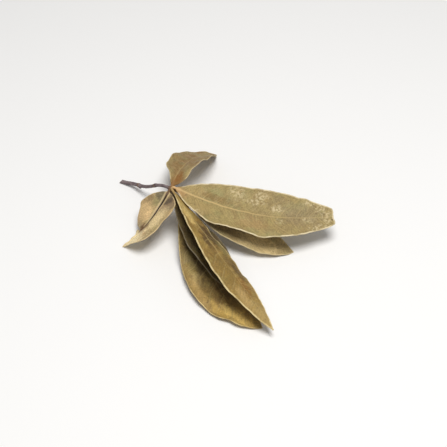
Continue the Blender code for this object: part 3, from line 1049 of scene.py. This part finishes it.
    under = r.mix(0.35, colour, settings.underside_colour[:])
    colour = r.mix(upper, under, colour)
    roughness = r.step(middling, 0.3, 0.7, 0.62, 0.48)
    height = r.math("MULTIPLY", net, 0.35)
    for layer, share in ((small_net, 0.15), (vein, 0.55), (fine, 0.5), (streak, 0.8)):
        height = r.math("ADD", height, r.math("MULTIPLY", layer, share))
    return r.finish(colour, roughness, height, depth=0.09, specular=0.35)


def twig_material(settings):
    """Wrinkled bark with pale specks, and the slanting cut's wood."""
    r = Recipe("Bark and cut wood")
    place, lengthwise, _, _ = r.vector("twig_place")
    _, on_cut, depth, _ = r.vector("twig_cut")
    drawn_out = r.vector_math("MULTIPLY", place, (0.22, 1, 1))
    grain = r.noise(drawn_out, BARK_GRAIN_SCALE, detail=5, roughness=0.65, dimensions="3D")
    blotch = r.noise(place, BARK_CLOUD_SCALE, dimensions="3D")
    fine = r.noise(place, BARK_FINE_SCALE, dimensions="3D")
    bark = r.mix(r.step(blotch, 0.4, 0.62), settings.bark_colour[:], settings.young_bark_colour[:])
    bark = r.brighten(bark, r.step(grain, 0.3, 0.7, 0.72, 1.3))
    bark = r.mix(r.step(lengthwise, 3.0, 0.8, high=0.75), bark, settings.knot_colour[:])
    for scar in SCARS:
        off = r.math("ABSOLUTE", r.math("SUBTRACT", lengthwise, scar * TWIG_LENGTH))
        bark = r.mix(r.step(off, 0.7, 0.25, high=0.6), bark, settings.knot_colour[:])
    lenticels = r.step(r.noise(drawn_out, LENTICEL_SCALE, detail=1, dimensions="3D"), 0.66, 0.74)
    bark = r.mix(r.math("MULTIPLY", lenticels, 0.5), bark, LENTICEL)
    rings = r.math("SINE", r.math("MULTIPLY", depth, WOOD_RINGS))
    wood = r.mix(r.step(rings, -1.0, 1.0, high=0.3), settings.wood_colour[:], WOOD_RING)
    wood = r.mix(r.step(depth, 0.24, 0.14, high=0.7), wood, PITH)
    wood = r.mix(r.step(depth, 0.84, 0.9), wood, CUT_BARK)
    colour = r.mix(on_cut, bark, wood)
    roughness = r.step(grain, 0.3, 0.7, 0.85, 0.65)
    height = r.math("ADD", grain, r.math("MULTIPLY", fine, 0.4))
    return r.finish(colour, roughness, height, depth=0.08, specular=0.25)


def length_property(name, description, default):
    return FloatProperty(
        name=name, description=description, default=default, min=0, subtype="DISTANCE", unit="LENGTH"
    )


def share_property(name, description, default):
    return FloatProperty(
        name=name, description=description, default=default, min=0, max=1, subtype="FACTOR"
    )


def colour_property(name, description, default):
    return FloatVectorProperty(
        name=name, description=description, default=default, size=3, min=0, max=1, subtype="COLOR_GAMMA"
    )


def leaf_settings(title, length, width, vein_pairs, rib_strength, vein_strength, colours):
    """The settings class of one leaf: its size, its veins and its seven colours."""
    main, second, tint, rib, rim, stalk, underside = colours
    fields = {
        "length": length_property("Length", "From the knot to the leaf's tip", length * MM),
        "width": length_property("Width", "Across the blade at its widest, laid flat", width * MM),
        "vein_pairs": IntProperty(
            name="Side Veins", description="Pairs of side veins", default=vein_pairs, min=4
        ),
        "rib_strength": share_property(
            "Rib Strength", "How clearly the midrib stands out from the blade", rib_strength
        ),
        "vein_strength": share_property(
            "Vein Strength", "How clearly the side veins stand out from the blade", vein_strength
        ),
        "main_colour": colour_property("Blade", "Main colour of the blade", main),
        "second_colour": colour_property("Second", "Colour of the blade's broad clouds", second),
        "tint_colour": colour_property("Tint", "Colour of the blade's smaller stains", tint),
        "rib_colour": colour_property("Rib", "Colour of the midrib and veins", rib),
        "rim_colour": colour_property("Margin", "Colour of the thickened margin", rim),
        "stalk_colour": colour_property("Stalk", "Colour of the stalk", stalk),
        "underside_colour": colour_property("Underside", "Colour that the underside leans to", underside),
    }
    members = {"__annotations__": fields, "__doc__": f"Size and colours of the {title.lower()}."}
    return type("BAYSPRIG_PG_" + title.lower().replace(" ", "_"), (bpy.types.PropertyGroup,), members)


RightTopSettings = leaf_settings(
    "Right Top Leaf",
    length=83,
    width=26,
    vein_pairs=10,
    rib_strength=0.85,
    vein_strength=0.22,
    colours=(
        (0.62, 0.55, 0.35), (0.59, 0.51, 0.325), (0.56, 0.54, 0.35),
        (0.80, 0.69, 0.47), (0.92, 0.86, 0.71), (0.86, 0.70, 0.50), (0.62, 0.57, 0.43),
    ),
)
RightLowerSettings = leaf_settings(
    "Right Lower Leaf",
    length=68,
    width=20.5,
    vein_pairs=9,
    rib_strength=0.6,
    vein_strength=0.25,
    colours=(
        (0.68, 0.60, 0.43), (0.61, 0.53, 0.36), (0.62, 0.58, 0.40),
        (0.70, 0.62, 0.44), CREAM, (0.50, 0.37, 0.23), (0.60, 0.54, 0.41),
    ),
)
FrontTopSettings = leaf_settings(
    "Front Top Leaf",
    length=95.5,
    width=20,
    vein_pairs=11,
    rib_strength=0.55,
    vein_strength=0.3,
    colours=(
        (0.61, 0.50, 0.26), (0.55, 0.435, 0.225), (0.58, 0.52, 0.29),
        (0.74, 0.65, 0.42), (0.91, 0.83, 0.62), (0.70, 0.58, 0.38), (0.60, 0.53, 0.37),
    ),
)
FrontMiddleSettings = leaf_settings(
    "Front Middle Leaf",
    length=72.5,
    width=18.5,
    vein_pairs=9,
    rib_strength=0.5,
    vein_strength=0.25,
    # Partly the leaf's own dark olive, partly painted shade: the colours are darkened for the deep shade it
    # lies in beneath the front top leaf
    colours=(
        (0.38, 0.33, 0.20), (0.33, 0.27, 0.17), (0.38, 0.37, 0.23),
        (0.46, 0.41, 0.29), (0.50, 0.46, 0.38), (0.36, 0.27, 0.19), (0.46, 0.42, 0.31),
    ),
)
FrontLowerSettings = leaf_settings(
    "Front Lower Leaf",
    length=92,
    width=27,
    vein_pairs=10,
    rib_strength=0.5,
    vein_strength=0.42,
    colours=(
        (0.52, 0.42, 0.235), (0.56, 0.47, 0.26), (0.48, 0.42, 0.24),
        (0.66, 0.58, 0.38), (0.86, 0.77, 0.55), (0.44, 0.32, 0.20), (0.56, 0.49, 0.35),
    ),
)
LeftFoldedSettings = leaf_settings(
    "Left Folded Leaf",
    length=38,
    width=20.5,
    vein_pairs=8,
    rib_strength=1.0,
    vein_strength=0.1,
    colours=(
        (0.68, 0.59, 0.415), (0.73, 0.61, 0.44), (0.64, 0.60, 0.39),
        # The near-black rib colour is painted shade in the deep crease along the midrib
        (0.15, 0.08, 0.035), (0.88, 0.79, 0.60), (0.46, 0.34, 0.23), (0.64, 0.58, 0.44),
    ),
)
BackSettings = leaf_settings(
    "Back Leaf",
    length=52,
    width=21,
    vein_pairs=8,
    rib_strength=0.6,
    vein_strength=0.2,
    colours=(
        (0.60, 0.52, 0.34), (0.56, 0.45, 0.28), (0.56, 0.52, 0.34),
        (0.70, 0.60, 0.40), CREAM, (0.56, 0.40, 0.23), (0.60, 0.54, 0.41),
    ),
)


class TwigSettings(bpy.types.PropertyGroup):
    """Size and colours of the twig."""

    tip_radius: length_property("Tip Radius", "Radius just behind the knot", 0.75 * MM)
    cut_radius: length_property("Cut Radius", "Radius at the cut end", 1.0 * MM)
    bark_colour: colour_property("Bark", "Main colour of the bark", (0.43, 0.375, 0.38))
    young_bark_colour: colour_property(
        "Young Bark", "Colour of the bark's smoother clouds", (0.51, 0.455, 0.46)
    )
    knot_colour: colour_property("Knot", "Colour at the knot and the leaf scars", (0.48, 0.36, 0.22))
    wood_colour: colour_property("Wood", "Colour of the wood in the cut", (0.70, 0.58, 0.40))


class StageSettings(bpy.types.PropertyGroup):
    """Floor, light and camera."""

    floor_size: length_property("Floor", "Side of the square floor", 6.0)
    floor_colour: colour_property("Floor Colour", "Colour of the floor", (0.96, 0.96, 0.96))
    camera_place: FloatVectorProperty(
        name="Camera",
        description="Where the camera stands, 45 degrees above the floor",
        default=(-0.0001, -0.4323, 0.4436),
        size=3,
        subtype="TRANSLATION",
        unit="LENGTH",
    )
    lens: FloatProperty(name="Lens", description="Focal length", default=100, min=10, unit="CAMERA")
    key_power: FloatProperty(
        name="Key Light", description="Power of the main soft light", default=5.7, unit="POWER"
    )
    fill_strength: FloatProperty(
        name="Fill", description="Strength of the light from all round", default=0.3, min=0
    )


class BAYSPRIG_OT_stage(bpy.types.Operator):
    """Add the pale floor, the soft studio light and the camera"""

    bl_idname = "bay_sprig.stage"
    bl_label = "Stage"
    bl_options = {"REGISTER", "UNDO"}

    def execute(self, context):
        settings = context.scene.bay_stage
        deselect_all()
        bpy.ops.mesh.primitive_plane_add(size=settings.floor_size)
        floor = context.object
        floor.name = floor.data.name = "floor"
        paper = Recipe("Pale paper")
        spot = paper.add("ShaderNodeTexCoord").outputs["Object"]
        grain = paper.noise(spot, PAPER_SCALE, dimensions="3D")
        sheet = paper.finish(settings.floor_colour[:], 0.7, grain, depth=0.02, specular=0.3)
        floor.data.materials.append(sheet)

        world = bpy.data.worlds.new("Pale room")
        world.use_nodes = True
        background = world.node_tree.nodes["Background"]
        background.inputs["Color"].default_value = (1.0, 1.0, 1.0, 1.0)
        background.inputs["Strength"].default_value = settings.fill_strength
        context.scene.world = world

        deselect_all()
        bpy.ops.object.light_add(type="AREA", location=KEY_PLACE)
        key = context.object
        key.name = key.data.name = "key_light"
        key.data.shape = "DISK"
        key.data.size = KEY_SIZE
        key.data.energy = settings.key_power
        key.data.color = KEY_COLOUR
        key.rotation_euler = key.location.to_track_quat("Z", "Y").to_euler()

        deselect_all()
        tilt = (radians(CAMERA_TILT), 0, 0)
        bpy.ops.object.camera_add(location=settings.camera_place, rotation=tilt)
        camera = context.object
        camera.name = camera.data.name = "camera"
        camera.data.lens = settings.lens
        camera.data.sensor_width = SENSOR_WIDTH
        camera.data.clip_start = 0.01
        context.scene.camera = camera
        context.scene.view_settings.view_transform = "Standard"
        return {"FINISHED"}


class BAYSPRIG_OT_twig(bpy.types.Operator):
    """Add the cut twig that the leaves grow from"""

    bl_idname = "bay_sprig.twig"
    bl_label = "Twig"
    bl_options = {"REGISTER", "UNDO"}

    def execute(self, context):
        add_twig(context.scene.bay_twig)
        return {"FINISHED"}


class BAYSPRIG_OT_right_leaves(bpy.types.Operator):
    """Add the broad leaf to the right and the one under it"""

    bl_idname = "bay_sprig.right_leaves"
    bl_label = "Right Leaves"
    bl_options = {"REGISTER", "UNDO"}

    def execute(self, context):
        add_leaf(RIGHT_TOP, context.scene.bay_right_top)
        add_leaf(RIGHT_LOWER, context.scene.bay_right_lower)
        return {"FINISHED"}


class BAYSPRIG_OT_front_leaves(bpy.types.Operator):
    """Add the three long leaves that run to the front"""

    bl_idname = "bay_sprig.front_leaves"
    bl_label = "Front Leaves"
    bl_options = {"REGISTER", "UNDO"}

    def execute(self, context):
        add_leaf(FRONT_TOP, context.scene.bay_front_top)
        add_leaf(FRONT_MIDDLE, context.scene.bay_front_middle)
        add_leaf(FRONT_LOWER, context.scene.bay_front_lower)
        return {"FINISHED"}


class BAYSPRIG_OT_folded_leaf(bpy.types.Operator):
    """Add the short leaf that is creased along its midrib"""

    bl_idname = "bay_sprig.folded_leaf"
    bl_label = "Folded Leaf"
    bl_options = {"REGISTER", "UNDO"}

    def execute(self, context):
        add_leaf(LEFT_FOLDED, context.scene.bay_left_folded)
        return {"FINISHED"}


class BAYSPRIG_OT_back_leaf(bpy.types.Operator):
    """Add the leaf that runs to the back"""

    bl_idname = "bay_sprig.back_leaf"
    bl_label = "Back Leaf"
    bl_options = {"REGISTER", "UNDO"}

    def execute(self, context):
        add_leaf(BACK, context.scene.bay_back)
        return {"FINISHED"}


OPERATORS = (
    BAYSPRIG_OT_stage,
    BAYSPRIG_OT_twig,
    BAYSPRIG_OT_right_leaves,
    BAYSPRIG_OT_front_leaves,
    BAYSPRIG_OT_folded_leaf,
    BAYSPRIG_OT_back_leaf,
)
SETTINGS = {
    "bay_stage": StageSettings,
    "bay_twig": TwigSettings,
    "bay_right_top": RightTopSettings,
    "bay_right_lower": RightLowerSettings,
    "bay_front_top": FrontTopSettings,
    "bay_front_middle": FrontMiddleSettings,
    "bay_front_lower": FrontLowerSettings,
    "bay_left_folded": LeftFoldedSettings,
    "bay_back": BackSettings,
}


class BAYSPRIG_PT_sprig(bpy.types.Panel):
    """Lists the sprig's pieces and their settings"""

    bl_idname = "BAYSPRIG_PT_sprig"
    bl_label = "Bay Sprig"
    bl_space_type = "VIEW_3D"
    bl_region_type = "UI"
    bl_category = "Bay Sprig"

    def draw(self, context):
        column = self.layout.column()
        for operator in OPERATORS:
            column.operator(operator.bl_idname)
        for name, settings in SETTINGS.items():
            box = self.layout.box()
            box.label(text=settings.__doc__)
            for field in settings.__annotations__:
                box.prop(getattr(context.scene, name), field)


def register():
    for name, settings in SETTINGS.items():
        bpy.utils.register_class(settings)
        setattr(bpy.types.Scene, name, PointerProperty(type=settings))
    for operator in OPERATORS:
        bpy.utils.register_class(operator)
    bpy.utils.register_class(BAYSPRIG_PT_sprig)


def unregister():
    bpy.utils.unregister_class(BAYSPRIG_PT_sprig)
    for operator in reversed(OPERATORS):
        bpy.utils.unregister_class(operator)
    for name, settings in reversed(SETTINGS.items()):
        delattr(bpy.types.Scene, name)
        bpy.utils.unregister_class(settings)


def main():
    register()
    bpy.ops.bay_sprig.stage()
    bpy.ops.bay_sprig.twig()
    bpy.ops.bay_sprig.right_leaves()
    bpy.ops.bay_sprig.front_leaves()
    bpy.ops.bay_sprig.folded_leaf()
    bpy.ops.bay_sprig.back_leaf()
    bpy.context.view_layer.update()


if __name__ == "__main__":
    main()
